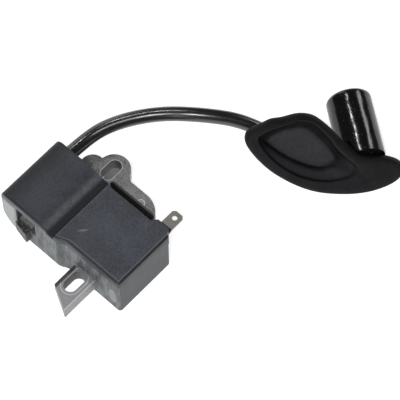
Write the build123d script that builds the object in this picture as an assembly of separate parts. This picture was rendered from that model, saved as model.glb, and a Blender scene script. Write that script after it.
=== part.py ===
from build123d import *
import os
from math import cos, pi, radians, sin, tan

# Ignition module of a small two-stroke engine: a potted coil and trigger circuit on a laminated
# U-shaped core, with a high tension lead, a leaf-shaped rubber cap and a spark plug boot.
# Millimetres, +Z up.  The origin is under the middle of the module, on the plane it lies on.
# X runs from the coil barrel to the electronics block, -Y points at the flywheel.

# ---- driving dimensions -------------------------------------------------------------------

# housing
housing_length = 71.9
housing_depth = 37.3
housing_height = 28.5
wall = 1.5
roof = 2.0
barrel_length = 33.5          # from the left end to the step up to the block
barrel_top_radius = 4.0
barrel_bottom_radius = 12.0
crest_start = 20.6            # where the barrel's flat top begins to fall
crest_radius = 14.0
valley_slope = 14.0           # degrees
front_step = 2.3              # the block's front wall stands back from the barrel's
back_step = 1.5
step_run = 8.0                # length of the S-shaped change from one wall to the other
corner_radius = 1.6
top_edge_radius = 1.0
end_edge_radius = 0.9         # round the barrel's two ends
potting_recess = 0.5          # the resin ends this far inside the open underside

# laminated core
lamination_thickness = 0.975
lamination_count = 8
core_bottom = 4.6
leg1_offset = 13.75           # axis of the coil's leg from the housing's left end
leg1_width = 8.2
leg2_offset = 50.4            # axis of the slotted leg from the housing's left end
leg2_width = 13.1
yoke_reach = 12.2             # outer edge of the yoke beyond the back wall
yoke_width = 8.0
core_corner_radius = 6.0
core_shoulder_radius = 12.5
leg_root_radius = 1.5         # where the legs leave the yoke
eye_offset = 24.25            # centre of the eye's boss from the housing's left end
eye_reach = 11.5              # and beyond the back wall
eye_boss_radius = 8.0
eye_slot_offset = 23.55       # the eye's slot, the same size as the foot's
eye_slot_reach = 10.45
eye_near_fillet = 0.5         # between the eye's boss and the yoke
eye_far_fillet = 4.0
foot_reach = 18.2             # tip of the slotted foot beyond the barrel's front wall
foot_slant = 28.4             # degrees, pole face cut for the flywheel
foot_step_width = 2.4         # the upper plates stop this far short of the foot's left edge
slot_width = 6.6
slot_length = 11.4
slot_reach = 4.7              # centre of the slot beyond the barrel's front wall
pole_reach = 3.0
pole_slant = 11.7             # degrees
pole_recess_depth = 3.6       # the front wall is cut back over the pole
pole_recess_drop = 4.5        # top of that recess below the roof's upper face
pole_recess_side = 3.7        # how far it runs past the pole's inner side
pilot_radius = 1.6
lip_width = 26.5              # a lip on the back wall lies over the yoke's inner edge
lip_reach = 6.65
lip_thickness = 1.5
core_gap = 0.1                # housing and bobbins stand off the core
rivet_radius = 1.5

# ignition coil on leg 1
bobbin_wall = 0.6
primary_build = 0.7
secondary_gap = 0.1
secondary_wall = 0.5
secondary_build = 0.9
flange_lip = 0.1
flange_thickness = 0.9
bobbin_start = 7.0            # from the barrel's front wall
bobbin_length = 25.0
winding_sections = 6
corner_swell = 1.7            # how fast the coils' corners round off as they build up

# charge and trigger coils on leg 2
charge_length = 21.0
charge_build = 1.3
charge_lip = 0.3
trigger_share = 0.28          # part of the bobbin that the trigger coil takes

# circuit
board_start = 3.2             # from the step up to the block
board_depth = 27.0
board_thickness = 1.2
board_height = 16.6           # underside of the board above the base
board_margin = 2.2            # from the block's right wall
wire_radius = 0.35
axial_span = 9.0              # between the two wires of a diode or resistor
pin_pitch = 2.54
capacitor_width = 9.0
capacitor_length = 20.0
capacitor_gap = 1.1           # from its side to the step up to the block
capacitor_headroom = 0.5      # under the valley's ceiling

# kill switch blade
blade_width = 6.3
blade_thickness = 0.8
blade_drop = 5.5              # below the housing's top
blade_reach = 11.4            # tip beyond the barrel's back wall
blade_inset = 6.2             # axis from the housing's right end
blade_step = 1.1              # the blade steps up just outside the boss
blade_hole_radius = 1.25
blade_hole_setback = 3.1
boss_width = 8.6
boss_reach = 2.5              # terminal boss beyond the block's back wall
boss_drop = 13.0
slot_gap = 0.05

# high tension lead
lead_radius = 3.5
lead_offset = 6.75            # axis from the housing's left end
lead_drop = 7.5               # axis below the housing's top
lead_depth = 9.0              # length held inside the housing
seal_radius = 5.2
seal_length = 2.4
pin_radius = 0.9
pin_head = 1.5
link_width = 2.2

# boot and leaf cap
boot_radius = 10.85
boot_length = 33.5            # from the mouth to the square end beside the cap's low edge
boot_gap = 0.3                # between that end and the cap's edge
mouth_rounding = 2.6
boot_mouth = (42.6, 131.8)    # centre of the mouth in plan
boot_heading = 143.4          # degrees from +X, the way the mouth points
boot_clearance = 0.1          # height of the boot and cap off the table
mouth_radius = 7.4
mouth_depth = 8.0
socket_radius = 5.3           # grips the plug's insulator
socket_depth = 25.0
terminal_radius = 4.2
terminal_depth = 27.0
contact_thickness = 1.0
contact_spike = 5.0           # into the end of the lead
nipple_radius = 5.2
nipple_length = 10.0
entry_setback = 6.0           # end of the lead beside the boot's axis
entry_height = 18.2           # up the cap's slope from its lowest point
lead_gap = 0.5                # between the lead and the cap's back
key_radius = 5.0              # round key that joins boot and cap
key_depth = 3.0
key_height = 11.0
leaf_lean = 32.0              # degrees, the cap leans back from the vertical
leaf_thickness = 7.0
leaf_setback = 40.6           # from the mouth to the cap's front face, along the boot's axis
leaf_axis_height = 9.4        # boot axis above the cap's lowest front point, up the slope
leaf_axis_side = 10.6         # boot axis from that point, along the cap
pocket_depth = 5.4
pocket_taper = 3.0
rim_radius = 1.5
back_radius = 2.0
lip_radius = 1.2
floor_radius = 1.0

# ---- places worked out from them ----------------------------------------------------------

core_thickness = lamination_thickness * lamination_count
core_top = core_bottom + core_thickness
core_middle = core_bottom + core_thickness / 2
back_reach = eye_reach + eye_boss_radius
front_y = foot_reach - (foot_reach + housing_depth + back_reach) / 2
back_y = front_y + housing_depth
left_x = -housing_length / 2
right_x = housing_length / 2
block_x = left_x + barrel_length
block_front_y = front_y + front_step
block_back_y = back_y - back_step
leg1_x = left_x + leg1_offset
leg2_x = left_x + leg2_offset
eye_x = left_x + eye_offset
eye_y = back_y + eye_reach
yoke_y = back_y + yoke_reach
foot_tip_y = front_y - foot_reach
slot_y = front_y - slot_reach
lead_x = left_x + lead_offset
lead_height = housing_height - lead_drop
blade_x = right_x - blade_inset
blade_height = housing_height - blade_drop
pole_recess_top = housing_height - pole_recess_drop


def block(x0, x1, y0, y1, z0, z1):
    """A plain box between two corners."""
    return Pos((x0 + x1) / 2, (y0 + y1) / 2, (z0 + z1) / 2) * Box(x1 - x0, y1 - y0, z1 - z0)


def nearest_vertex(shape, x, y):
    """The corner of a flat outline that lies nearest to a point."""
    return min(shape.vertices(), key=lambda v: (v.X - x) ** 2 + (v.Y - y) ** 2)


def along_y(profile, y0, y1):
    """Extrudes a profile drawn in X and Z from y0 to y1."""
    return Pos(0, y1, 0) * extrude(Plane.XZ * profile, amount=y1 - y0)


# ---- housing ------------------------------------------------------------------------------

def valley_height():
    """Height of the sloping roof where it meets the step up to the block."""
    turn = crest_radius * sin(radians(valley_slope))
    fall = crest_radius * (1 - cos(radians(valley_slope)))
    run = barrel_length - crest_start - turn
    return housing_height - fall - run * tan(radians(valley_slope))


def side_profile(inset, drop, floor):
    """Outline of the housing seen from the front, as (x, z)."""
    left = left_x + inset
    right = right_x - inset
    top = housing_height - drop
    low = barrel_bottom_radius
    crest = (left_x + crest_start, top)
    turn = crest_radius * sin(radians(valley_slope))
    fall = crest_radius * (1 - cos(radians(valley_slope)))
    slope_start = (crest[0] + turn, top - fall)
    valley_x = block_x + inset
    valley = (valley_x, valley_height() - drop - inset * tan(radians(valley_slope)))
    round_top = max(barrel_top_radius - inset, 0.5)
    round_low = low - inset
    edges = [
        CenterArc((left_x + low, low), round_low, 180, 90),
        Line((left, low), (left, top - round_top)),
        CenterArc((left + round_top, top - round_top), round_top, 90, 90),
        Line((left + round_top, top), crest),
        CenterArc((crest[0], top - crest_radius), crest_radius, 90 - valley_slope, valley_slope),
        Line(slope_start, valley),
        Line(valley, (valley_x, top)),
        Line((valley_x, top), (right, top)),
        Line((right, top), (right, floor)),
        Line((right, floor), (left_x + low, floor)),
    ]
    if floor < inset:
        edges.append(Line((left_x + low, floor), (left_x + low, inset)))
    return make_face(edges)


def plan_outline(inset):
    """Outline of the housing seen from above: the block's walls stand back from the barrel's."""
    left = left_x + inset
    right = right_x - inset
    front = front_y + inset
    back = back_y - inset
    block_front = block_front_y + inset
    block_back = block_back_y - inset
    middle = block_x + step_run / 2
    step_end = block_x + step_run
    return make_face([
        Line((left, front), (block_x, front)),
        Bezier((block_x, front), (middle, front), (middle, block_front), (step_end, block_front)),
        Line((step_end, block_front), (right, block_front)),
        Line((right, block_front), (right, block_back)),
        Line((right, block_back), (block_x + back_step, block_back)),
        Line((block_x + back_step, block_back), (block_x, back)),
        Line((block_x, back), (left, back)),
        Line((left, back), (left, front)),
    ])


def plan_block(inset):
    """The housing's plan as a tall block, to trim what is extruded along Y."""
    return Pos(0, 0, -5) * extrude(plan_outline(inset), amount=housing_height + 10)


def outer_form():
    """The moulding before anything is cut out of it, with its round edges."""
    form = along_y(side_profile(0, 0, 0), front_y, back_y)
    ends = form.faces().sort_by(Axis.Y)[0].edges() + form.faces().sort_by(Axis.Y)[-1].edges()
    barrel_edges = [e for e in ends if e.center().X < block_x - 1 and e.center().Z > 0.1]
    form = fillet(barrel_edges, end_edge_radius) & plan_block(0)
    upright = [e for e in form.edges().filter_by(Axis.Z) if e.center().X > right_x - 0.1]
    form = fillet(upright, corner_radius)
    block_top = form.faces().filter_by(Axis.Z).group_by(Axis.Z)[-1].sort_by(Axis.X)[-1]
    return fillet(block_top.edges(), top_edge_radius)


def terminal_boss(inset):
    """The raised corner of the back wall that holds the kill switch blade."""
    y1 = block_back_y + boss_reach - inset
    boss = block(blade_x - boss_width / 2 + inset, blade_x + boss_width / 2 - inset,
                 block_back_y - wall - 1, y1,
                 housing_height - boss_drop + inset, housing_height - (roof if inset else 0))
    return chamfer(boss.edges().filter_by(Axis.Z).group_by(Axis.Y)[-1], 1.2)


def yoke_lip():
    """A shelf on the back wall, over the yoke's inner edge and the slotted leg."""
    x1 = leg2_x + leg2_width / 2 - 2.0
    z0 = core_top + core_gap
    lip = block(x1 - lip_width, x1, block_back_y - wall / 2, back_y + lip_reach, z0, z0 + lip_thickness)
    return fillet(lip.edges().filter_by(Axis.Z).group_by(Axis.Y)[-1], corner_radius)


def make_housing():
    outer = outer_form() + terminal_boss(0)
    shell = outer - cavity
    # a recess in the front wall leaves the pole's upper face open
    shell += outer & block(recess_left - wall, recess_right + wall, front_y, recess_back + wall,
                           core_top - wall, pole_recess_top + wall)
    shell -= pole_recess
    # the core passes through the front and back walls
    window = core_bottom - core_gap, core_top + core_gap
    reach = 2 * max(wall, pole_recess_depth) + 2
    for x, width in ((leg1_x, leg1_width), (leg2_x, leg2_width)):
        half = width / 2 + core_gap
        shell -= block(x - half, x + half, front_y - 1, front_y + reach, *window)
        shell -= block(x - half, x + half, back_y - reach, back_y + 1, *window)
    shell += yoke_lip()
    shell -= Pos(lead_x, back_y, lead_height) * Rot(90, 0, 0) * Cylinder(lead_radius, 4 * wall)
    shell -= blade_slot
    return shell


cavity = along_y(side_profile(wall, roof, -1), front_y, back_y) & plan_block(wall)
cavity += terminal_boss(wall)
recess_left = leg1_x - leg1_width / 2 - core_gap
recess_right = leg1_x + leg1_width / 2 + pole_recess_side
recess_back = front_y + pole_recess_depth
pole_recess = block(recess_left, recess_right, front_y - 1, recess_back, core_top, pole_recess_top)
blade_root_z = blade_height - blade_step
blade_slot = block(blade_x - blade_width / 2 - slot_gap, blade_x + blade_width / 2 + slot_gap,
                   block_back_y - wall - 1, block_back_y + boss_reach + 1,
                   blade_root_z - blade_thickness / 2 - slot_gap,
                   blade_root_z + blade_thickness / 2 + slot_gap)


# ---- laminated core -----------------------------------------------------------------------

def plate_outline(stepped):
    """One lamination: two legs, a yoke, the fixing eye and the slotted foot."""
    leg1_left = leg1_x - leg1_width / 2
    leg1_right = leg1_x + leg1_width / 2
    leg2_left = leg2_x - leg2_width / 2
    leg2_right = leg2_x + leg2_width / 2
    pole_y = front_y - pole_reach
    yoke_inner = yoke_y - yoke_width
    pole_rise = leg1_width * tan(radians(pole_slant))
    foot_rise = leg2_width * tan(radians(foot_slant))
    outline = make_face(Polyline(
        (leg1_left, yoke_y), (leg2_right, yoke_y), (leg2_right, foot_tip_y),
        (leg2_left, foot_tip_y + foot_rise), (leg2_left, yoke_inner), (leg1_right, yoke_inner),
        (leg1_right, pole_y), (leg1_left, pole_y + pole_rise), close=True))
    outline += Pos(eye_x, eye_y) * Circle(eye_boss_radius)
    outline = fillet(nearest_vertex(outline, leg1_left, yoke_y), core_corner_radius)
    outline = fillet(nearest_vertex(outline, leg2_right, yoke_y), core_shoulder_radius)
    for x in (leg1_right, leg2_left):
        outline = fillet(nearest_vertex(outline, x, yoke_inner), leg_root_radius)
    outline = fillet(nearest_vertex(outline, eye_x - eye_boss_radius, yoke_y), eye_near_fillet)
    outline = fillet(nearest_vertex(outline, eye_x + eye_boss_radius, yoke_y), eye_far_fillet)
    outline -= Pos(left_x + eye_slot_offset, back_y + eye_slot_reach) * SlotOverall(
        slot_length, slot_width, rotation=90)
    outline -= Pos(leg2_x, slot_y) * SlotOverall(slot_length, slot_width, rotation=90)
    outline -= Pos(leg2_x - leg2_width * 0.39, yoke_y - yoke_width * 0.61) * Circle(pilot_radius)
    for place in rivet_places:
        outline -= Pos(*place) * Circle(rivet_radius)
    if stepped:
        strip_end = front_y - 1.5 * foot_reach
        strip = Rectangle(foot_step_width, block_front_y - strip_end, align=(Align.MIN, Align.MAX))
        strip = fillet(nearest_vertex(strip, foot_step_width, 0), foot_step_width * 0.9)
        outline -= Pos(leg2_left, block_front_y - 0.3) * strip
    return outline


rivet_places = [(leg2_x, block_front_y + 3.2), (leg2_x, block_back_y - 3.2)]


def make_laminations():
    plates = []
    for number in range(lamination_count):
        outline = plate_outline(stepped=number >= lamination_count - 2)
        plate = extrude(outline, amount=lamination_thickness)
        plates.append(Pos(0, 0, core_bottom + number * lamination_thickness) * plate)
    return plates


def make_rivets():
    return [Pos(x, y, core_middle) * Cylinder(rivet_radius, core_thickness) for x, y in rivet_places]


# ---- coils --------------------------------------------------------------------------------

def spool(x, leg_width, build, y0, y1):
    """A rounded block around a leg, along Y; build is measured from the leg's faces."""
    profile = RectangleRounded(leg_width + 2 * build, core_thickness + 2 * build, corner_swell * build)
    return along_y(Pos(x, core_middle) * profile, y0, y1)


def sleeve(x, leg_width, inner, outer, y0, y1):
    """A rounded tube around a leg."""
    return spool(x, leg_width, outer, y0, y1) - spool(x, leg_width, inner, y0 - 1, y1 + 1)


coil_y0 = front_y + bobbin_start
coil_y1 = coil_y0 + bobbin_length
primary_inner = core_gap + bobbin_wall
primary_outer = primary_inner + primary_build
secondary_inner = primary_outer + secondary_gap + secondary_wall
secondary_outer = secondary_inner + secondary_build


def make_primary_bobbin():
    bobbin = sleeve(leg1_x, leg1_width, core_gap, primary_inner, coil_y0, coil_y1)
    for y in (coil_y0, coil_y1 - flange_thickness):
        bobbin += sleeve(leg1_x, leg1_width, core_gap, primary_outer, y, y + flange_thickness)
    return bobbin


def make_primary_winding():
    return sleeve(leg1_x, leg1_width, primary_inner, primary_outer,
                  coil_y0 + flange_thickness, coil_y1 - flange_thickness)


section_pitch = (bobbin_length - flange_thickness) / winding_sections


def make_secondary_bobbin():
    bobbin = sleeve(leg1_x, leg1_width, primary_outer + secondary_gap, secondary_inner,
                    coil_y0, coil_y1)
    for number in range(winding_sections + 1):
        y = coil_y0 + number * section_pitch
        bobbin += sleeve(leg1_x, leg1_width, primary_outer + secondary_gap,
                         secondary_outer + flange_lip, y, y + flange_thickness)
    return bobbin


def make_secondary_winding():
    sections = []
    for number in range(winding_sections):
        y = coil_y0 + number * section_pitch + flange_thickness
        sections.append(sleeve(leg1_x, leg1_width, secondary_inner, secondary_outer,
                               y, y + section_pitch - flange_thickness))
    return sections


charge_y0 = (block_front_y + block_back_y - charge_length) / 2
charge_y1 = charge_y0 + charge_length
trigger_y = charge_y0 + trigger_share * charge_length
charge_outer = primary_inner + charge_build


def make_charge_bobbin():
    bobbin = sleeve(leg2_x, leg2_width, core_gap, primary_inner, charge_y0, charge_y1)
    for y in (charge_y0, trigger_y, charge_y1 - flange_thickness):
        bobbin += sleeve(leg2_x, leg2_width, core_gap, charge_outer + charge_lip,
                         y, y + flange_thickness)
    return bobbin


def make_charge_winding():
    return sleeve(leg2_x, leg2_width, primary_inner, charge_outer,
                  trigger_y + flange_thickness, charge_y1 - flange_thickness)


def make_trigger_winding():
    return sleeve(leg2_x, leg2_width, primary_inner, charge_outer,
                  charge_y0 + flange_thickness, trigger_y)


# ---- circuit ------------------------------------------------------------------------------

board_x0 = block_x + board_start
board_length = right_x - board_margin - board_x0
board_y = (block_front_y + block_back_y) / 2
board_top = board_height + board_thickness


def on_board(x, y):
    """A place on the board's upper face, from its left edge and its middle line."""
    return Pos(board_x0 + x, board_y + y, board_top)


def make_circuit_board():
    board = Pos(board_x0 + board_length / 2, board_y, board_height) * extrude(
        RectangleRounded(board_length, board_depth, 1.5), amount=board_thickness)
    for x, y in board_holes:
        board -= on_board(x, y) * Cylinder(wire_radius, 3 * board_thickness)
    return board


def axial_part(x, y, radius, length, span):
    """A small axial component lying on the board, with its two wires through it."""
    body = on_board(x, y) * Pos(0, 0, radius + 0.2) * Rot(0, 90, 0) * Cylinder(radius, length)
    body = fillet(body.edges(), radius * 0.35)
    level = radius + 0.2
    for side in (-1, 1):
        bend = Polyline((0, 0, level), (side * span / 2, 0, level), (side * span / 2, 0, -board_thickness))
        section = Plane(origin=(0, 0, level), z_dir=(side, 0, 0)) * Circle(wire_radius)
        body += on_board(x, y) * sweep(section, path=bend, transition=Transition.RIGHT)
    return body


diode_x = 0.76 * board_length
resistor_x = 0.38 * board_length
thyristor_x = 0.243 * board_length
chip_x = 0.737 * board_length
diode_rows = [(diode_x, -10.5), (diode_x, -6.5), (diode_x, -2.5)]
resistor_rows = [(resistor_x, -11.0), (resistor_x, -7.5), (diode_x, 12.1)]
thyristor_pins = [(thyristor_x + n * pin_pitch, -2.6) for n in (-1, 0, 1)]
chip_pins = [(chip_x + n * pin_pitch, side * 3.9 + 6.5) for n in (-1.5, -0.5, 0.5, 1.5) for side in (-1, 1)]
board_holes = [(x + side * axial_span / 2, y) for x, y in diode_rows + resistor_rows for side in (-1, 1)]
board_holes += thyristor_pins + chip_pins


def make_diodes():
    return [axial_part(x, y, 1.35, 5.0, axial_span) for x, y in diode_rows]


def make_resistors():
    return [axial_part(x, y, 1.15, 6.2, axial_span) for x, y in resistor_rows]


def make_storage_capacitor():
    x1 = block_x - capacitor_gap
    top = valley_height() - roof - capacitor_headroom
    case = block(x1 - capacitor_width, x1, board_y - capacitor_length / 2, board_y + capacitor_length / 2,
                 board_height, top)
    return fillet(case.edges().filter_by(Axis.Z), 0.8)


def make_thyristor():
    x = thyristor_x
    body = on_board(x, 3.2) * Pos(0, 0, 0) * Box(10.0, 9.0, 4.2, align=(Align.CENTER, Align.CENTER, Align.MIN))
    tab = on_board(x, 10.2) * (Box(10.0, 5.6, 1.3, align=(Align.CENTER, Align.CENTER, Align.MIN))
                               - Cylinder(1.8, 6))
    body = chamfer(body.faces().sort_by(Axis.Z)[-1].edges(), 0.5) + tab
    for px, py in thyristor_pins:
        body += block(board_x0 + px - 0.3, board_x0 + px + 0.3, board_y + py - 0.3, board_y - 1.2,
                      board_top + 1.2, board_top + 1.7)
        body += Pos(board_x0 + px, board_y + py, board_height) * Cylinder(
            wire_radius, board_thickness + 1.7, align=(Align.CENTER, Align.CENTER, Align.MIN))
    return body


def make_control_chip():
    cx = chip_x
    body = on_board(cx, 6.5) * Pos(0, 0, 0.5) * Box(9.6, 6.4, 3.3, align=(Align.CENTER, Align.CENTER, Align.MIN))
    body = chamfer(body.faces().sort_by(Axis.Z)[-1].edges(), 0.3)
    body -= on_board(cx - 4.8, 6.5) * Pos(0, 0, 3.8) * Cylinder(0.9, 1.2)
    for px, py in chip_pins:
        side = 1 if py > 6.5 else -1
        arm = sorted((board_y + 6.5 + side * 3.0, board_y + py + side * 0.25))
        body += block(board_x0 + px - 0.45, board_x0 + px + 0.45, *arm, board_top + 1.8, board_top + 2.2)
        body += Pos(board_x0 + px, board_y + py, board_height) * Cylinder(
            wire_radius, board_thickness + 2.0, align=(Align.CENTER, Align.CENTER, Align.MIN))
    return body


# ---- terminals ----------------------------------------------------------------------------

def make_kill_blade():
    """A push-on blade: its root turns down inside the block to the board."""
    tip = back_y + blade_reach
    root = block_back_y - wall - 1.4
    step_start = block_back_y + boss_reach + 0.4
    step_end = step_start + 1.5 * blade_step
    half = blade_thickness / 2
    profile = make_face(Polyline(
        (root, blade_root_z - half), (step_start, blade_root_z - half), (step_end, blade_height - half),
        (tip, blade_height - half), (tip, blade_height + half), (step_end, blade_height + half),
        (step_start, blade_root_z + half), (root, blade_root_z + half), close=True))
    blade = Pos(blade_x - blade_width / 2, 0, 0) * extrude(Plane.YZ * profile, amount=blade_width)
    blade = chamfer(blade.edges().filter_by(Axis.Z).group_by(Axis.Y)[-1], 1.2)
    blade -= Pos(blade_x, tip - blade_hole_setback, blade_height) * Cylinder(blade_hole_radius, 4)
    blade += block(blade_x - 1.6, blade_x + 1.6, root, root + blade_thickness, board_top, blade_root_z)
    return blade


def make_ground_strap():
    """A strip from the board down to the upper face of the slotted leg."""
    x0 = board_x0 + 1.2
    y = board_y + board_depth / 2 - 1.2
    foot_x = leg2_x - leg2_width / 2
    strap = block(x0, x0 + 3.0, y - 0.25, y + 0.25, core_top, board_height)
    strap += block(x0, foot_x + 2.5, y - 1.5, y + 0.25, core_top, core_top + 0.5)
    return strap


def make_high_tension_pin():
    """A brass spike with a round head, pushed into the end of the lead."""
    spike = Pos(lead_x, back_y - lead_depth, lead_height) * Rot(-90, 0, 0) * (
        Cylinder(pin_radius, 4.0, align=(Align.CENTER, Align.CENTER, Align.MIN))
        + Pos(0, 0, 4.0) * Cone(pin_radius, 0.15, 2.0, align=(Align.CENTER, Align.CENTER, Align.MIN)))
    head = Pos(lead_x, back_y - lead_depth, lead_height) * Rot(90, 0, 0) * Cylinder(
        lead_radius * 0.8, pin_head, align=(Align.CENTER, Align.CENTER, Align.MIN))
    return spike + head


def make_high_tension_link():
    """A strip from the spike's head down to the side of the secondary winding."""
    y1 = back_y - lead_depth - pin_head
    coil_side = leg1_x - leg1_width / 2 - secondary_outer
    return block(coil_side - 0.5, coil_side, y1 - link_width, y1, core_middle, lead_height + 1.0)


def make_lead_seal():
    ring = Cylinder(seal_radius, seal_length) - Cylinder(lead_radius, 2 * seal_length)
    return Pos(lead_x, back_y - wall - seal_length / 2, lead_height) * Rot(90, 0, 0) * ring


# ---- leaf cap and boot --------------------------------------------------------------------

heading = radians(boot_heading)
boot_axis = Vector(cos(heading), sin(heading), 0)
along_leaf = Vector(boot_axis.Y, -boot_axis.X, 0)
leaf_normal = boot_axis * -cos(radians(leaf_lean)) + Vector(0, 0, sin(radians(leaf_lean)))
up_leaf = boot_axis * sin(radians(leaf_lean)) + Vector(0, 0, cos(radians(leaf_lean)))
mouth_centre = Vector(*boot_mouth, boot_radius + boot_clearance)
leaf_crossing = mouth_centre - boot_axis * leaf_setback
leaf_origin = leaf_crossing - along_leaf * leaf_axis_side - up_leaf * leaf_axis_height
leaf_plane = Plane(origin=leaf_origin, x_dir=along_leaf, z_dir=leaf_normal)
boot_plane = Plane(origin=mouth_centre, x_dir=-along_leaf, z_dir=boot_axis)


def leaf_outline():
    """The cap's outline: a leaf with its stalk end high on the left and its tip low on the right."""
    return make_face(Spline(
        (-44.4, 38.0), (-39.0, 24.6), (-27.6, 12.4), (-12.6, 3.6), (4.0, 0.0), (18.5, 0.9),
        (28.5, 4.6), (31.4, 8.6), (28.6, 12.4), (21.8, 15.6), (13.5, 17.2), (5.3, 23.4),
        (-3.2, 34.6), (-9.8, 44.2), (-18.5, 47.8), (-33.0, 47.2), (-41.8, 44.0), periodic=True))


def pocket_outline(shrink):
    """The finger pocket's outline; shrink moves it inwards for the floor."""
    s = shrink
    points = [(-37.0 + s, 33.5), (-33.6 + s, 24.6 + s), (-26.5 + s / 2, 16.8 + s),
              (-14.5, 11.6 + s), (-3.4, 9.6 + s), (2.4 - s, 13.5 + s / 2), (0.2 - s, 22.4),
              (-5.6 - s, 30.8 - s / 2), (-12.4 - s / 2, 40.0 - s / 2), (-19.0, 42.0 - s / 2),
              (-31.0, 41.0 - s / 2)]
    return make_face(Spline(*points, periodic=True))


def leaf_key():
    """A round key on the boot's base, let into the back of the cap."""
    return leaf_plane.location * Pos(leaf_axis_side, key_height, -leaf_thickness) * Cylinder(
        key_radius, key_depth, align=(Align.CENTER, Align.CENTER, Align.MIN))


def make_leaf_cap():
    cap = extrude(leaf_outline(), amount=-leaf_thickness)
    cap = fillet(cap.faces().sort_by(Axis.Z)[0].edges(), back_radius)
    cap = fillet(cap.faces().filter_by(Axis.Z).sort_by(Axis.Z)[-1].edges(), rim_radius)
    floor = Pos(0, 0, -pocket_depth) * pocket_outline(pocket_taper)
    cap -= loft([Pos(0, 0, 0.01) * pocket_outline(0), floor])
    rim_edges = [e for e in cap.edges() if abs(e.center().Z) < 0.05]
    cap = fillet(min(rim_edges, key=lambda e: e.length), lip_radius)
    floor_edges = [e for e in cap.edges() if abs(e.center().Z + pocket_depth) < 0.05]
    cap = fillet(floor_edges, floor_radius)
    return leaf_plane.location * cap - leaf_key()


lead_entry = leaf_plane.from_local_coords(
    Vector(leaf_axis_side - entry_setback, entry_height, -leaf_thickness - lead_radius - lead_gap))
lead_route = [
    Vector(lead_x, back_y - lead_depth, lead_height),
    Vector(lead_x, 25.1, lead_height),
    Vector(-25.1, 40.3, 24.6),
    Vector(-12.6, 58.5, 26.4),
    Vector(4.7, 71.9, 28.6),
    Vector(21.3, 84.8, 25.0),
    Vector(43.7, 92.5, 15.6),
    lead_entry,
]
nipple_plane = Plane(origin=lead_entry, z_dir=lead_route[-2] - lead_entry)


def make_plug_contact():
    """A disc behind the plug's terminal, with a spike into the end of the lead."""
    disc = boot_plane.location * Pos(0, 0, -terminal_depth) * Cylinder(
        terminal_radius, contact_thickness, align=(Align.CENTER, Align.CENTER, Align.MIN))
    spike = nipple_plane.location * Pos(0, 0, -entry_setback) * Cylinder(
        pin_radius, entry_setback + contact_spike, align=(Align.CENTER, Align.CENTER, Align.MIN))
    return disc + spike


def make_boot_sleeve():
    """The tube that goes over the plug, with the lead's nipple on its side."""
    length = leaf_setback + boot_radius
    tube = Pos(0, 0, -length) * Cylinder(boot_radius, length, align=(Align.CENTER, Align.CENTER, Align.MIN))
    tube = fillet(tube.faces().sort_by(Axis.Z)[-1].edges(), mouth_rounding)
    for radius, depth in ((mouth_radius, mouth_depth), (socket_radius, socket_depth),
                          (terminal_radius, terminal_depth)):
        tube -= Pos(0, 0, -depth) * Cylinder(
            radius, depth + 1, align=(Align.CENTER, Align.CENTER, Align.MIN))
    tube = boot_plane.location * tube
    tube += nipple_plane.location * Cylinder(
        nipple_radius, nipple_length, align=(Align.CENTER, Align.CENTER, Align.MIN))
    tube -= nipple_plane.location * Cylinder(
        lead_radius, 3 * nipple_length, align=(Align.CENTER, Align.CENTER, Align.MIN))
    tube -= make_plug_contact()
    # the base lies against the cap's back and stands square beside the cap's low edge
    in_front = leaf_plane.location * Pos(0, 0, -leaf_thickness) * Box(
        200, 200, 100, align=(Align.CENTER, Align.CENTER, Align.MIN))
    beyond = boot_plane.location * Pos(0, 0, -boot_length) * Box(
        200, 200, 100, align=(Align.CENTER, Align.CENTER, Align.MAX))
    beside_cap = tube - beyond
    for rise in (0, boot_gap):
        beside_cap -= leaf_plane.location * Pos(0, rise, -leaf_thickness) * extrude(
            leaf_outline(), amount=100)
    tube = (tube - in_front) + beside_cap
    return tube + leaf_key()


def corner_radii(route):
    """The largest arc that each corner's two runs allow."""
    radii = []
    for before, here, after in zip(route, route[1:], route[2:]):
        turn = (here - before).get_angle(after - here)
        shorter = min((here - before).length, (after - here).length)
        radii.append(0.45 * shorter / tan(radians(turn / 2)))
    return radii


def make_spark_lead():
    radii = corner_radii(lead_route)
    print("lead radii", [round(r, 1) for r in radii])
    print("lead runs", [round((b - a).length, 1) for a, b in zip(lead_route, lead_route[1:])])
    path = FilletPolyline(*lead_route, radius=radii)
    start = Plane(origin=lead_route[0], z_dir=lead_route[1] - lead_route[0])
    lead = sweep(start * Circle(lead_radius), path=path)
    print("lead length", round(path.length, 1), "volume over section times length",
          round(lead.volume / (path.length * pi * lead_radius ** 2), 4))
    return lead - make_high_tension_pin() - make_plug_contact()


# ---- assembly -----------------------------------------------------------------------------

def solids_of(shape):
    """The solids of one node, which is a shape or a list of shapes."""
    return [solid for item in (shape if isinstance(shape, list) else [shape]) for solid in item.solids()]


def make_potting(held):
    """The resin: all of the housing's inside that nothing else fills."""
    resin = cavity & block(left_x, right_x, front_y, back_y + boss_reach, potting_recess, housing_height)
    resin -= pole_recess
    for name in held:
        for solid in solids_of(parts[name]):
            resin -= solid
    return resin


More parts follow.
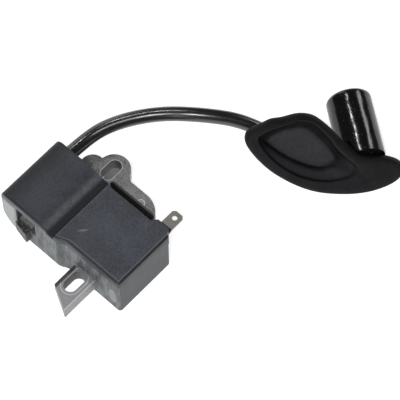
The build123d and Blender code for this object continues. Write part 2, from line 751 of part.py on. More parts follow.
parts = {
    "housing": make_housing(),
    "core_laminations": make_laminations(),
    "core_rivets": make_rivets(),
    "primary_bobbin": make_primary_bobbin(),
    "primary_winding": make_primary_winding(),
    "secondary_bobbin": make_secondary_bobbin(),
    "secondary_winding": make_secondary_winding(),
    "charge_bobbin": make_charge_bobbin(),
    "charge_winding": make_charge_winding(),
    "trigger_winding": make_trigger_winding(),
    "circuit_board": make_circuit_board(),
    "diodes": make_diodes(),
    "resistors": make_resistors(),
    "storage_capacitor": make_storage_capacitor(),
    "thyristor": make_thyristor(),
    "control_chip": make_control_chip(),
    "kill_blade": make_kill_blade(),
    "ground_strap": make_ground_strap(),
    "high_tension_pin": make_high_tension_pin(),
    "high_tension_link": make_high_tension_link(),
    "lead_seal": make_lead_seal(),
    "spark_lead": make_spark_lead(),
    "leaf_cap": make_leaf_cap(),
    "boot_sleeve": make_boot_sleeve(),
    "plug_contact": make_plug_contact(),
}

in_the_air = ("leaf_cap", "boot_sleeve", "plug_contact")
parts["potting"] = make_potting([name for name in parts if name not in in_the_air])

os.makedirs("parts", exist_ok=True)
for name, shape in parts.items():
    export_step(Compound(children=solids_of(shape)), f"parts/{name}.step")
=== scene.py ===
# Ignition module of a small engine: potted coil and circuit on a laminated core,
# with its spark lead, plug boot and leaf-shaped rubber cap.
import math

import bpy
from mathutils import Matrix, Vector


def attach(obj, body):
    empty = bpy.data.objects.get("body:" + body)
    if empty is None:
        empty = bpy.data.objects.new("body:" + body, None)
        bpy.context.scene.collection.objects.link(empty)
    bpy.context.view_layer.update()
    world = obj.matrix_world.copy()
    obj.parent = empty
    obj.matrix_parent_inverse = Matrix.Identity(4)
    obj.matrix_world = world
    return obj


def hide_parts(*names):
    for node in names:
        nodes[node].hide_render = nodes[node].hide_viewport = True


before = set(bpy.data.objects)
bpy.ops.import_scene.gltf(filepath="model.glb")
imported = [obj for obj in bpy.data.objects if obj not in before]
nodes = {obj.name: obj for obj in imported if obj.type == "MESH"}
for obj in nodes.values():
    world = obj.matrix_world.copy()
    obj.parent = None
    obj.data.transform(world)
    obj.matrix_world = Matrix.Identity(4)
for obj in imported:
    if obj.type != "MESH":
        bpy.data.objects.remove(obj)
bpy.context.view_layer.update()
bpy.ops.object.select_all(action="DESELECT")


# ---- Camera, floor and light ---------------------------------------------------------------
# A long lens high over the housing's front right corner. Soft panels on four sides and
# overhead light the part. The floor glows white, so its shadows are faint.

camera_right = Vector((0.7364, 0.6765, 0.0))
camera_up = Vector((-0.6048, 0.6583, 0.4481))
camera_back = camera_right.cross(camera_up)
camera_data = bpy.data.cameras.new("camera")
camera_data.sensor_width = 36.0
camera_data.lens = 216.0
camera_data.clip_end = 20.0
camera = bpy.data.objects.new("camera", camera_data)
bpy.context.scene.collection.objects.link(camera)
camera.matrix_world = Matrix.Translation((0.36260, -0.31910, 0.99816)) @ Matrix(
    (camera_right, camera_up, camera_back)).transposed().to_4x4()
bpy.context.scene.camera = camera
bpy.context.scene.view_settings.view_transform = "Standard"


class Wire:
    """A socket of a material's node tree. Arithmetic on it adds Math nodes."""

    def __init__(self, finish, socket):
        self.finish = finish
        self.socket = socket

    def maths(self, operation, *values, clamp=False):
        return self.finish.node(
            "ShaderNodeMath", {"operation": operation, "use_clamp": clamp}, dict(enumerate(values)))

    def __add__(self, other):
        return self.maths("ADD", self, other)

    def __radd__(self, other):
        return self.maths("ADD", other, self)

    def __sub__(self, other):
        return self.maths("SUBTRACT", self, other)

    def __rsub__(self, other):
        return self.maths("SUBTRACT", other, self)

    def __mul__(self, other):
        return self.maths("MULTIPLY", self, other)

    def __rmul__(self, other):
        return self.maths("MULTIPLY", other, self)

    def __truediv__(self, other):
        return self.maths("DIVIDE", self, other)

    def __pow__(self, other):
        return self.maths("POWER", self, other)

    def clamped(self):
        return self.maths("ADD", self, 0.0, clamp=True)

    def step(self, low, high):
        """0 under low, 1 over high, and smooth between them."""
        return self.finish.node(
            "ShaderNodeMapRange", {"interpolation_type": "SMOOTHSTEP"},
            {"Value": self, "From Min": low, "From Max": high})

    def near(self, place, width):
        """1 at the place, falling to 0 at half a width on either side."""
        return 1.0 - self.maths("ABSOLUTE", self - place).step(0.0, width / 2)


class Finish:
    """A material built round one Principled shader."""

    def __init__(self, name, **uniform):
        self.material = bpy.data.materials.new(name)
        self.material.use_nodes = True
        self.tree = self.material.node_tree
        self.shader = self.tree.nodes["Principled BSDF"]
        self.place = self.node("ShaderNodeTexCoord", {}, {}, "Object")
        for socket, value in uniform.items():
            self.shader.inputs[socket.replace("_", " ")].default_value = value

    def node(self, kind, settings, sockets, output=0):
        made = self.tree.nodes.new(kind)
        for key, value in settings.items():
            setattr(made, key, value)
        for key, value in sockets.items():
            if isinstance(value, Wire):
                self.tree.links.new(value.socket, made.inputs[key])
            else:
                made.inputs[key].default_value = value
        return Wire(self, made.outputs[output])

    def noise(self, grain, detail=2.0, roughness=0.5, vector=None):
        """Noise from 0 to 1 whose lumps are about one grain across, in metres."""
        return self.node(
            "ShaderNodeTexNoise", {},
            {"Vector": vector or self.place, "Scale": 1.0 / grain, "Detail": detail,
             "Roughness": roughness})

    def axes(self, vector=None):
        split = self.node("ShaderNodeSeparateXYZ", {}, {"Vector": vector or self.place})
        outputs = split.socket.node.outputs
        return [Wire(self, outputs[i]) for i in range(3)]

    def blend(self, mask, dark, light):
        """The first colour where the mask is 0 and the second where it is 1."""
        return self.node("ShaderNodeMix", {"data_type": "RGBA"}, {0: mask, 6: dark, 7: light}, 2)

    def bump(self, height, depth, under=None):
        """A bump of the given depth in metres; height runs from 0 to 1."""
        sockets = {"Height": height, "Distance": depth, "Strength": 1.0}
        if under:
            sockets["Normal"] = under
        return self.node("ShaderNodeBump", {}, sockets)

    def drive(self, **wires):
        for socket, wire in wires.items():
            self.tree.links.new(wire.socket, self.shader.inputs[socket.replace("_", " ")])


def grey(value, red=0.0, blue=0.0):
    return (value + red, value, value + blue, 1.0)


def dress(node, finish):
    """Gives a node of the frame its finish."""
    piece = nodes[node]
    if not piece.material_slots:
        piece.data.materials.append(finish.material)
    for place in piece.material_slots:
        place.material = finish.material
    return piece


# the contact shadows are painted on the floor: in the eye's slot, under the housing and the yoke
floor_finish = Finish("floor", Roughness=0.9, Emission_Strength=0.75)
floor_x, floor_y, _ = floor_finish.axes()
eye_shade = (floor_x.near(-0.0153, 0.0078) * floor_y.near(0.0316, 0.0140)).step(0.05, 0.30)
under_housing = (floor_x.step(-0.0350, -0.0300) * (1.0 - floor_x.step(0.0280, 0.0330))
                 * floor_y.step(-0.0165, -0.0110) * (1.0 - floor_y.step(0.0100, 0.0160)))
under_yoke = (floor_x.step(-0.0180, -0.0140) * (1.0 - floor_x.step(0.0100, 0.0160))
              * floor_y.step(0.0100, 0.0140) * (1.0 - floor_y.step(0.0250, 0.0300)))
shadow = (eye_shade + under_housing + under_yoke).clamped()
floor_finish.drive(
    Base_Color=floor_finish.blend(
        shadow, floor_finish.blend(floor_finish.noise(0.4), grey(0.78), grey(0.80)), grey(0.12)),
    Emission_Color=floor_finish.blend(shadow, grey(1.0), grey(0.10)))
bpy.ops.mesh.primitive_plane_add(size=8.0, location=(0.0, 0.0, 0.0))
floor = bpy.context.object
floor.name = "floor"
floor.data.materials.append(floor_finish.material)
bpy.ops.object.select_all(action="DESELECT")

world = bpy.data.worlds.new("studio")
world.use_nodes = True
world.node_tree.nodes["Background"].inputs["Color"].default_value = (0.96, 0.98, 1.0, 1.0)
world.node_tree.nodes["Background"].inputs["Strength"].default_value = 0.10
bpy.context.scene.world = world


def panel(name, toward, distance, width, length, power):
    """A soft panel in a direction from the module, facing it, its length along Y."""
    data = bpy.data.lights.new(name, "AREA")
    data.shape = "RECTANGLE"
    data.size = width
    data.size_y = length
    data.energy = power
    light = bpy.data.objects.new(name, data)
    bpy.context.scene.collection.objects.link(light)
    away = Vector(toward).normalized()
    side = Vector((0.0, 1.0, 0.0)).cross(away).normalized()
    place = away * distance + Vector((0.02, 0.03, 0.0))
    light.matrix_world = Matrix.Translation(place) @ Matrix(
        (side, away.cross(side), away)).transposed().to_4x4()


panel("panel_left", (-0.85, 0.30, 0.42), 1.6, 0.7, 0.7, 2.5)
panel("panel_over", (-0.42, 0.14, 0.89), 1.6, 0.12, 0.12, 2.5)
panel("panel_front", (0.15, -0.92, 0.36), 1.6, 0.6, 0.6, 12.0)
panel("panel_near", (0.25, -0.40, 0.88), 1.6, 0.20, 0.20, 7.0)
panel("panel_back", (0.07, 0.83, 0.56), 1.6, 0.35, 0.35, 2.2)


# ---- Spark lead -----------------------------------------------------------------------------
# High tension lead: stranded copper in a 7 mm black synthetic rubber sheath, drawn smooth
# and glossy. It is pushed into the barrel's back wall before the resin is poured.

lead_radius = 0.0035
lead_points = [
    (-0.0292, 0.0090, 0.0210), (-0.0292, 0.0251, 0.0210), (-0.0251, 0.0403, 0.0246),
    (-0.0126, 0.0585, 0.0264), (0.0047, 0.0719, 0.0286), (0.0213, 0.0848, 0.0250),
    (0.0437, 0.0925, 0.0156), (0.060384, 0.111119, 0.012584),
]

curve = bpy.data.curves.new("spark_lead_sheath", "CURVE")
curve.dimensions = "3D"
curve.bevel_depth = lead_radius
curve.bevel_resolution = 10
curve.resolution_u = 24
curve.use_fill_caps = True
line = curve.splines.new("NURBS")
line.points.add(len(lead_points) - 1)
for point, place in zip(line.points, lead_points):
    point.co = (*place, 1.0)
line.order_u = 3
line.use_endpoint_u = True
spark_lead = bpy.data.objects.new("spark_lead_sheath", curve)
bpy.context.scene.collection.objects.link(spark_lead)

sheath = Finish("lead_sheath", Roughness=0.25, Coat_Weight=1.0, Coat_Roughness=0.22)
smudges = sheath.noise(0.006, 3.0, 0.6)
sheath.drive(
    Base_Color=sheath.blend(smudges.step(0.35, 0.75), grey(0.003), grey(0.008, 0.001)),
    Roughness=0.26 + smudges * 0.06)
curve.materials.append(sheath.material)
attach(spark_lead, "root")
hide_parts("spark_lead")


# ---- Seal at the lead's exit ---------------------------------------------------------------
# A short moulded rubber ring in the barrel's back wall. It keeps the resin in and
# holds the lead straight where it comes out.

seal_rubber = Finish("seal_rubber", Roughness=0.55)
seal_rubber.drive(
    Base_Color=seal_rubber.blend(seal_rubber.noise(0.002), grey(0.012), grey(0.028)),
    Normal=seal_rubber.bump(seal_rubber.noise(0.0006), 0.00005))
dress("lead_seal", seal_rubber)


# ---- Plug boot ------------------------------------------------------------------------------
# Injection-moulded synthetic rubber tube with a rounded mouth, gripped on the plug's
# insulator. Its skin comes off a polished core, so it shines, with specks of dust.

boot_rubber = Finish("boot_rubber", Roughness=0.2)
boot_specks = boot_rubber.noise(0.0009, 1.0).step(0.70, 0.76)
boot_cloud = boot_rubber.noise(0.006, 3.0, 0.6)
boot_rubber.drive(
    Base_Color=boot_rubber.blend(
        boot_specks * 0.5, boot_rubber.blend(boot_cloud, grey(0.002), grey(0.005)), grey(0.12)),
    Roughness=0.06 + boot_cloud * 0.20 + boot_specks * 0.3,
    Normal=boot_rubber.bump(boot_rubber.noise(0.010), 0.0004))
dress("boot_sleeve", boot_rubber)


# ---- Leaf-shaped cap ------------------------------------------------------------------------
# Soft matte rubber grip, moulded round the boot's end: a leaf 7 mm thick with a rounded rim
# and a pocket for the fingertips, steep on its high side and stepped on its low side.

boot_heading = Vector((-0.8028, 0.5962, 0.0))
boot_mouth = Vector((42.6, 131.8, 10.95))
along_leaf = Vector((0.5962, 0.8028, 0.0))
leaf_lean = math.radians(32.0)
leaf_thickness = 7.0
leaf_setback = 40.6
leaf_axis_side = 10.6
leaf_axis_height = 9.4
floor_clearance = 0.2
out_of_leaf = boot_heading * -math.cos(leaf_lean) + Vector((0.0, 0.0, math.sin(leaf_lean)))
up_leaf = boot_heading * math.sin(leaf_lean) + Vector((0.0, 0.0, math.cos(leaf_lean)))
leaf_corner = (boot_mouth - boot_heading * leaf_setback
               - along_leaf * leaf_axis_side - up_leaf * leaf_axis_height)
# along and up the leaf, in mm: its outline, the pocket's edge and the pocket's floor
leaf_points = [
    ((-33.6, 43.2), (-36.7, 38.6), (-34.6, 34.4)), ((-31.4, 44.6), (-33.6, 40.3), (-32.3, 36.3)),
    ((-26.2, 44.0), (-28.5, 41.3), (-27.2, 37.9)), ((-22.5, 44.6), (-24.0, 41.8), (-23.0, 38.2)),
    ((-18.6, 45.0), (-20.8, 42.9), (-19.5, 38.2)), ((-15.2, 44.4), (-17.4, 42.8), (-16.6, 37.7)),
    ((-12.0, 43.2), (-13.9, 41.7), (-13.6, 36.0)), ((-9.4, 41.4), (-11.2, 39.4), (-11.6, 33.8)),
    ((-6.4, 38.0), (-8.8, 36.2), (-9.6, 31.2)), ((-2.5, 33.2), (-5.8, 31.4), (-6.9, 27.3)),
    ((0.4, 28.2), (-3.7, 27.5), (-4.5, 23.4)), ((3.2, 24.9), (-1.5, 23.2), (-2.4, 20.0)),
    ((6.8, 21.3), (1.6, 19.4), (-1.7, 17.8)), ((11.8, 17.2), (4.4, 16.0), (-1.7, 16.6)),
    ((19.5, 15.4), (6.0, 13.7), (-2.2, 15.7)), ((25.4, 12.9), (6.2, 12.4), (-3.0, 15.2)),
    ((30.5, 8.3), (5.8, 11.2), (-3.8, 14.9)), ((26.7, 1.5), (4.8, 10.0), (-4.8, 14.6)),
    ((18.4, -1.4), (3.0, 8.9), (-6.2, 14.3)), ((11.6, -2.4), (0.4, 8.2), (-8.0, 14.1)),
    ((4.0, -2.1), (-3.2, 8.0), (-9.8, 14.0)), ((-3.5, -0.6), (-7.1, 8.1), (-12.2, 14.6)),
    ((-10.1, 1.2), (-12.1, 9.3), (-15.3, 16.1)), ((-16.6, 3.9), (-17.5, 11.6), (-18.4, 17.8)),
    ((-24.1, 8.8), (-22.8, 14.9), (-21.8, 20.2)), ((-30.9, 14.7), (-27.6, 19.2), (-25.3, 23.0)),
    ((-35.6, 19.7), (-31.5, 23.6), (-28.6, 26.0)), ((-40.5, 26.7), (-34.9, 28.9), (-31.4, 29.0)),
    ((-43.9, 33.4), (-37.2, 33.4), (-33.6, 31.4)), ((-44.2, 37.6), (-38.0, 36.4), (-34.8, 32.8)),
    ((-42.0, 41.2), (-37.9, 37.8), (-35.0, 33.6)),
]
outline, pocket_edge, pocket_floor = ([Vector(point) for point in ring] for ring in zip(*leaf_points))
# 0 where the pocket's side is steep, 1 where it is stepped
stepped = [0.0] * 13 + [0.2, 0.4, 0.5, 0.6, 0.8] + [1.0] * 10 + [0.6, 0.4, 0.2]
floor_middle = [Vector((-17.0, 27.0))] * len(leaf_points)


def drawn_in(ring, distance):
    """The ring moved inwards by a distance in mm."""
    moved = []
    for before, point, after in zip(ring[-1:] + ring[:-1], ring, ring[1:] + ring[:1]):
        run = (after - before).normalized()
        moved.append(point + Vector((run.y, -run.x)) * distance)
    return moved


def between(first, second, shares):
    return [a.lerp(b, share) for a, b, share in zip(first, second, shares)]


def on_leaf(ring, depths):
    """The ring's places in metres, each at its depth in mm behind the leaf's front face."""
    places = []
    for point, depth in zip(ring, depths):
        place = leaf_corner + along_leaf * point.x + up_leaf * point.y - out_of_leaf * depth
        places.append(Vector((place.x, place.y, max(place.z, floor_clearance))) / 1000.0)
    return places


def level(depth):
    return [depth] * len(leaf_points)


def sided(steep, step):
    return [steep + (step - steep) * share for share in stepped]


# from the back face over the rounded rim into the pocket
cap_rings = [
    on_leaf(drawn_in(outline, 5.0), level(leaf_thickness)),
    on_leaf(drawn_in(outline, 2.2), level(leaf_thickness)),
    on_leaf(drawn_in(outline, 0.5), level(leaf_thickness - 1.0)),
    on_leaf(outline, level(3.6)),
    on_leaf(drawn_in(outline, 0.4), level(1.1)),
    on_leaf(drawn_in(outline, 1.5), level(0.2)),
    on_leaf(between(outline, pocket_edge, level(0.6)), level(-0.1)),
    on_leaf(between(outline, pocket_edge, level(0.93)), level(0.0)),
    on_leaf(pocket_edge, level(0.6)),
    on_leaf(between(pocket_edge, pocket_floor, sided(0.08, 0.12)), sided(3.0, 1.4)),
    on_leaf(between(pocket_edge, pocket_floor, sided(0.45, 0.80)), sided(4.4, 2.4)),
    on_leaf(pocket_floor, level(4.5)),
    on_leaf(between(pocket_floor, floor_middle, level(0.06)), level(4.7)),
    on_leaf(between(pocket_floor, floor_middle, level(0.16)), level(4.8)),
]
# how light the rubber is on each ring: painted shade in the grooves and under the high rim, painted light on
# the stepped ledge, paler on the floor
cap_painted_shades = [level(0.20)] * 6 + [
    level(0.20), level(0.30), sided(0.10, 0.0), sided(0.0, 0.45), sided(0.0, 0.50),
    sided(0.0, 0.10), sided(0.05, 0.55), level(0.70)]
bpy.ops.mesh.primitive_circle_add(vertices=len(leaf_points), radius=0.02, fill_type="NOTHING")
leaf_cap = bpy.context.object
leaf_cap.name = "cap_leaf"
leaf_cap.data.transform(leaf_cap.matrix_world)
leaf_cap.matrix_world = Matrix.Identity(4)
for point, place in zip(leaf_cap.data.vertices, cap_rings[0]):
    point.co = place
bpy.ops.object.mode_set(mode="EDIT")
bpy.ops.mesh.select_all(action="SELECT")
painted_shade_of_point = list(cap_painted_shades[0])
for ring, following, shades in zip(cap_rings, cap_rings[1:], cap_painted_shades[1:]):
    bpy.ops.mesh.extrude_edges_move()
    bpy.ops.object.mode_set(mode="OBJECT")
    for point in leaf_cap.data.vertices:
        if point.select:
            nearest = min(range(len(ring)), key=lambda i: (point.co - ring[i]).length)
            point.co = following[nearest]
            painted_shade_of_point.append(shades[nearest])
    bpy.ops.object.mode_set(mode="EDIT")
bpy.ops.mesh.fill(use_beauty=True)
bpy.ops.mesh.select_all(action="DESELECT")
bpy.ops.mesh.select_non_manifold()
bpy.ops.mesh.fill(use_beauty=True)
bpy.ops.mesh.select_all(action="SELECT")
bpy.ops.mesh.normals_make_consistent(inside=False)
bpy.ops.object.mode_set(mode="OBJECT")
shade = leaf_cap.data.attributes.new("shade", "FLOAT", "POINT")
shade.data.foreach_set("value", painted_shade_of_point)
rounding = leaf_cap.modifiers.new("rounding", "SUBSURF")
rounding.levels = rounding.render_levels = 2
bpy.ops.object.modifier_apply(modifier="rounding")
bpy.ops.object.shade_smooth()

cap_rubber = Finish("cap_rubber", Roughness=0.6, Specular_IOR_Level=0.12)
cap_cloud = cap_rubber.noise(0.008, 4.0, 0.6)
cap_grain = cap_rubber.noise(0.0013, 3.0, 0.8)
# the rings' painted shade and light, carried by the shade attribute
cap_painted_shade = cap_rubber.node("ShaderNodeAttribute", {"attribute_name": "shade"}, {}, "Fac")
cap_rubber.drive(
    Base_Color=cap_rubber.blend(
        (cap_painted_shade * 0.9 + (cap_grain - 0.5) * 0.9 * cap_painted_shade + (cap_cloud - 0.5) * 0.3).clamped(),
        grey(0.001), grey(0.055, 0.0, 0.007)),
    Roughness=0.45 + cap_grain * 0.3,
    Normal=cap_rubber.bump(cap_grain, 0.00015, cap_rubber.bump(cap_cloud, 0.0004)))
leaf_cap.data.materials.append(cap_rubber.material)
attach(leaf_cap, "root")
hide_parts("leaf_cap")
bpy.ops.object.select_all(action="DESELECT")


# ---- Housing --------------------------------------------------------------------------------
# Glass-filled nylon moulding, open underneath: a barrel over the coil, a valley and a
# raised block over the circuit. The skin is satin and speckled with glass fibre.

barrel_front = -0.0193
front_step = 0.0023
step_run = 0.0080
block_left = -0.00245
block_right = 0.0353
block_top = 0.02571
valley_rise = 0.00237
valley_run = 0.00951

housing_plastic = Finish("housing_plastic", Roughness=0.5)
across, along, height = housing_plastic.axes()
fibre = housing_plastic.noise(0.0011, 3.0, 0.75)
cloud = housing_plastic.noise(0.011, 3.0, 0.55)
top = height.step(0.0240, 0.0252)
# painted highlight: a pale band along the barrel's crest before the valley
ridge_highlight = top * across.near(-0.0088, 0.0046)
# painted shade: the valley beside the block made near black, and rougher
shaded_valley = top * across.step(-0.0078, -0.0058) * (1.0 - across.step(-0.0034, -0.0026))
# painted shade: darker over the barrel's rounded left edge
left_edge_shade = (1.0 - across.step(-0.0345, -0.0240)) * along.step(-0.0193, -0.0180)
barrel = (1.0 - across.step(-0.0120, -0.0100)) * top
# painted shade: the low ledge between the block and the yoke made near black and dull
shaded_lip = (along.step(0.0163, 0.0168) * (1.0 - height.step(0.0170, 0.0180))
       * across.step(-0.0080, -0.0070))
# painted highlight along the ledge's back edge
lip_edge_highlight = shaded_lip * along.step(0.0234, 0.0240)
nick_waver = housing_plastic.noise(0.003, 2.0) * 0.0012
nick_line = across - 0.0054 - (along + 0.0079) * 0.65 + nick_waver
nick = nick_line.near(0.0006, 0.0022) * along.near(-0.0079, 0.0056) * top
dust = housing_plastic.noise(0.0006, 2.0, 0.8).step(0.70, 0.80)
# how far a point lies under the roof, which slopes up from the block to the barrel's crest
roof = block_top + ((block_left - across) / valley_run).clamped() * valley_rise
drop = roof - height
front_face = barrel_front + across.step(block_left, block_left + step_run) * front_step
front_wall = (1.0 - (along - front_face).step(0.0004, 0.0012)) * drop.step(0.0004, 0.0014)
right_wall = across.step(block_right, block_right + 0.0004) * drop.step(0.0004, 0.0014)
block = across.step(block_left, block_left + 0.00025)
# painted highlights along the block's top edges: the front, the right and the step down to the valley
rim_highlight = (along - front_face).near(0.0016, 0.0009) + across.near(0.0344, 0.0009)
rim_highlight = (rim_highlight + across.near(-0.0019, 0.0008)).clamped() * (1.0 - drop.step(0.0003, 0.0008)) * block
# painted shade: a dark band just under the block's top edges
outer_edge = (1.0 - (along - front_face).step(0.0009, 0.0013) + across.step(0.0347, 0.0351)).clamped()
under_rim_shade = outer_edge * (1.0 - drop.step(0.0009, 0.0016)) * across.step(-0.0340, -0.0320)
# vertical streaks, used in the walls' painted light and in the crest's painted highlight
streak_space = housing_plastic.node(
    "ShaderNodeVectorMath", {"operation": "MULTIPLY"},
    {0: housing_plastic.place, 1: (1.0, 1.0, 0.22)})
streaks = housing_plastic.noise(0.0022, 3.0, 0.7, streak_space).step(0.35, 0.70)
# painted reflection: the front wall paler towards its left end
bright_end_reflection = (1.0 - across.step(-0.0290, -0.0255)) * (1.0 - height.step(0.0215, 0.0245))
# a pale oval patch low on the front wall near its right end
from_patch_middle = across.maths(
    "SQRT", ((across - 0.0317) / 0.0024) ** 2.0 + ((height - 0.0112) / 0.0068) ** 2.0)
pale_patch = 1.0 - from_patch_middle.step(0.85, 1.05)
grain = (fibre * 0.6 + cloud * 0.4).step(0.25, 0.75)
colour = housing_plastic.blend(grain, (0.024, 0.027, 0.036, 1.0), (0.094, 0.101, 0.128, 1.0))
# painted light and shade: the walls get a tone of their own, apart from the roof's
wall_shade_colour = housing_plastic.blend(
    grain * 0.5 + streaks * 0.5, (0.022, 0.028, 0.030, 1.0), (0.050, 0.059, 0.060, 1.0))
colour = housing_plastic.blend((right_wall + front_wall).clamped() * 0.8, colour, wall_shade_colour)
# painted reflection: the front wall lightened in vertical streaks
colour = housing_plastic.blend(front_wall * streaks * 0.55, colour, (0.200, 0.215, 0.210, 1.0))
colour = housing_plastic.blend(front_wall * bright_end_reflection * 0.8, colour, (0.340, 0.350, 0.350, 1.0))
colour = housing_plastic.blend(front_wall * pale_patch * 0.5, colour, (0.300, 0.320, 0.315, 1.0))
colour = housing_plastic.blend(barrel * 0.35, colour, (0.016, 0.017, 0.021, 1.0))
colour = housing_plastic.blend(left_edge_shade * 0.7, colour, (0.010, 0.009, 0.009, 1.0))
colour = housing_plastic.blend(ridge_highlight * (0.25 + streaks * 0.4), colour, (0.165, 0.155, 0.155, 1.0))
colour = housing_plastic.blend(shaded_valley * 0.85, colour, (0.007, 0.007, 0.009, 1.0))
colour = housing_plastic.blend(dust * 0.35, colour, (0.200, 0.205, 0.215, 1.0))
colour = housing_plastic.blend(nick * 0.6, colour, (0.300, 0.305, 0.315, 1.0))
colour = housing_plastic.blend(rim_highlight * 0.5, colour, (0.200, 0.205, 0.215, 1.0))
colour = housing_plastic.blend(under_rim_shade * 0.8, colour, (0.008, 0.009, 0.011, 1.0))
colour = housing_plastic.blend(shaded_lip, colour, (0.004, 0.004, 0.005, 1.0))
colour = housing_plastic.blend(lip_edge_highlight * 0.8, colour, grey(0.13))
housing_plastic.drive(
    Base_Color=colour,
    Roughness=(0.42 + cloud * 0.2 + shaded_valley * 0.3 + shaded_lip * 0.4).clamped(),
    Normal=housing_plastic.bump(fibre, 0.00010))
dress("housing", housing_plastic)


# ---- Laminated core -------------------------------------------------------------------------
# Eight stamped plates of electrical steel, about 1 mm each, stacked and held by rivets.
# Bare, dull and speckled, with bright sheared edges.

core_steel = Finish("core_steel", Metallic=0.6, Roughness=0.45)
plate = core_steel.axes()[2]
speckle = core_steel.noise(0.0009, 4.0, 0.8)
mottle = core_steel.noise(0.006, 3.0, 0.6)
stack_bottom = 0.0046
half_plate = 0.0004875
stack_side = plate.step(stack_bottom, 0.0047) * (1.0 - plate.step(0.01225, 0.01235))
joint = (plate.maths("PINGPONG", plate - stack_bottom, half_plate) / half_plate).step(0.0, 0.35)
sheared = core_steel.blend(joint * 0.7 + speckle * 0.3, grey(0.06), grey(0.40))
face = core_steel.blend(
    (speckle * 0.75 + mottle * 0.25).step(0.30, 0.70), grey(0.17, 0.0, -0.008), grey(0.50))
core_x, core_y, _ = core_steel.axes()
slot_half_run = 0.0024
slot_wall_radius = 0.0033


def from_run(centre_x, centre_y, half_run):
    """Distance from a line along Y that reaches half_run to either side of its centre."""
    past_end = core_x.maths(
        "MAXIMUM", core_x.maths("ABSOLUTE", core_y - centre_y) - half_run, 0.0)
    return core_x.maths("SQRT", (core_x - centre_x) ** 2.0 + past_end ** 2.0)


from_eye = from_run(-0.0124, 0.02845, slot_half_run)
from_slot = from_run(0.01445, -0.0240, slot_half_run)
from_pilot = from_run(0.00934, 0.02532, 0.0)
eye_rim_highlight = from_eye.near(0.0035, 0.0007) * (1.0 - stack_side)
pilot_bore_light = 1.0 - from_pilot.step(0.00185, 0.0021)
in_front = 1.0 - core_y.step(-0.0190, -0.0170)
foot = in_front * core_x.step(0.0, 0.001)
pole_in_shade = in_front - foot
slot_ring_highlight = from_slot.near(0.0047, 0.0007) * foot * (1.0 - stack_side)
foot_edge_highlight = core_x.near(0.02085, 0.0012) * foot * (1.0 - stack_side)
slot_wall_shade = (1.0 - from_slot.step(slot_wall_radius, 0.0034)) * foot
steel = core_steel.blend(stack_side, face, sheared)
# painted light: the foot's top, lit from the front, made paler
steel = core_steel.blend(
    foot * (1.0 - stack_side), steel,
    core_steel.blend(speckle, grey(0.26, 0.0, 0.010), grey(0.60, 0.0, 0.015)))
# painted shade: the coil's pole in its recess made dark, broken by speckle
steel = core_steel.blend(pole_in_shade * (1.0 - speckle.step(0.55, 0.65)) * 0.85, steel, grey(0.03))
# painted shade: the eye slot's inner wall made an even dull grey-green
steel = core_steel.blend(1.0 - from_eye.step(slot_wall_radius, 0.0034), steel, (0.17, 0.18, 0.165, 1.0))
# painted shade on the foot slot's inner wall
steel = core_steel.blend(slot_wall_shade, steel, grey(0.11))
# painted highlights: the eye's rim, a ring round the foot's slot and the foot's right edge
steel = core_steel.blend((eye_rim_highlight + slot_ring_highlight + foot_edge_highlight).clamped() * 0.8, steel, grey(0.92))
# painted light: the pilot hole's bore made near white and less metallic
steel = core_steel.blend(pilot_bore_light, steel, grey(0.95))
core_steel.drive(
    Base_Color=steel,
    Metallic=0.6 - pilot_bore_light * 0.5,
    Roughness=0.42 + speckle * 0.25,
    Normal=core_steel.bump(speckle, 0.00012))
dress("core_laminations", core_steel)
dress("core_rivets", core_steel)


# ---- Blade terminal and other contacts -----------------------------------------------------
# Tinned brass: the stop wire's push-on blade, the strap that earths the board on the core,
# the pin that bites into the lead and the strip that feeds it.

tinned_brass = Finish("tinned_brass", Metallic=1.0, Roughness=0.35)
tarnish = tinned_brass.noise(0.003, 4.0, 0.6)
tinned_brass.drive(
    Base_Color=tinned_brass.blend(tarnish, (0.200, 0.185, 0.170, 1.0), (0.400, 0.375, 0.345, 1.0)),
    Roughness=0.32 + tarnish * 0.2)
for contact in ("kill_blade", "ground_strap", "high_tension_pin", "high_tension_link", "plug_contact"):
    dress(contact, tinned_brass)


# ---- Coils ----------------------------------------------------------------------------------
# Nylon bobbins on both legs, wound with enamelled copper wire.

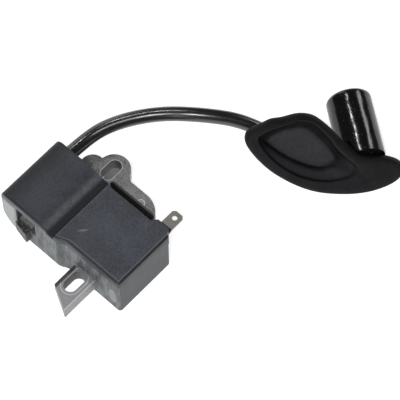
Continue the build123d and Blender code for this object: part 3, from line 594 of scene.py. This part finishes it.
bobbin_nylon = Finish("bobbin_nylon", Roughness=0.5)
bobbin_nylon.drive(Base_Color=bobbin_nylon.blend(
    bobbin_nylon.noise(0.004), (0.62, 0.59, 0.50, 1.0), (0.72, 0.69, 0.60, 1.0)))
for bobbin in ("primary_bobbin", "secondary_bobbin", "charge_bobbin"):
    dress(bobbin, bobbin_nylon)

copper_wire = Finish("copper_wire", Metallic=1.0, Roughness=0.3)
turn = copper_wire.axes()[1]
wire_radius = 0.00009
turns = turn.maths("PINGPONG", turn, wire_radius) / wire_radius
copper_wire.drive(
    Base_Color=copper_wire.blend(copper_wire.noise(0.002), (0.45, 0.16, 0.07, 1.0), (0.62, 0.26, 0.12, 1.0)),
    Normal=copper_wire.bump(turns, 0.00006))
for winding in ("primary_winding", "secondary_winding", "charge_winding", "trigger_winding"):
    dress(winding, copper_wire)


# ---- Circuit --------------------------------------------------------------------------------
# Glass-epoxy board with its components, buried in the resin.

board_laminate = Finish("board_laminate", Roughness=0.4)
board_laminate.drive(Base_Color=board_laminate.blend(
    board_laminate.noise(0.0008, 2.0), (0.05, 0.16, 0.07, 1.0), (0.08, 0.22, 0.10, 1.0)))
dress("circuit_board", board_laminate)

component_case = Finish("component_case", Roughness=0.45)
component_case.drive(Base_Color=component_case.blend(
    component_case.noise(0.0015, 2.0), grey(0.012), grey(0.03)))
for part in ("diodes", "resistors", "thyristor", "control_chip"):
    dress(part, component_case)

capacitor_case = Finish("capacitor_case", Roughness=0.3)
capacitor_case.drive(Base_Color=capacitor_case.blend(
    capacitor_case.noise(0.003, 2.0), (0.42, 0.13, 0.05, 1.0), (0.5, 0.17, 0.07, 1.0)))
dress("storage_capacitor", capacitor_case)


# ---- Resin ----------------------------------------------------------------------------------
# Black epoxy poured in from below and cured level, just inside the open underside.

resin = Finish("potting_resin", Roughness=0.25)
resin_flow = resin.noise(0.009, 3.0, 0.6)
resin.drive(
    Base_Color=resin.blend(resin_flow, grey(0.010), grey(0.022)),
    Roughness=0.15 + resin_flow * 0.25,
    Normal=resin.bump(resin_flow, 0.0004))
dress("potting", resin)


bpy.context.view_layer.update()
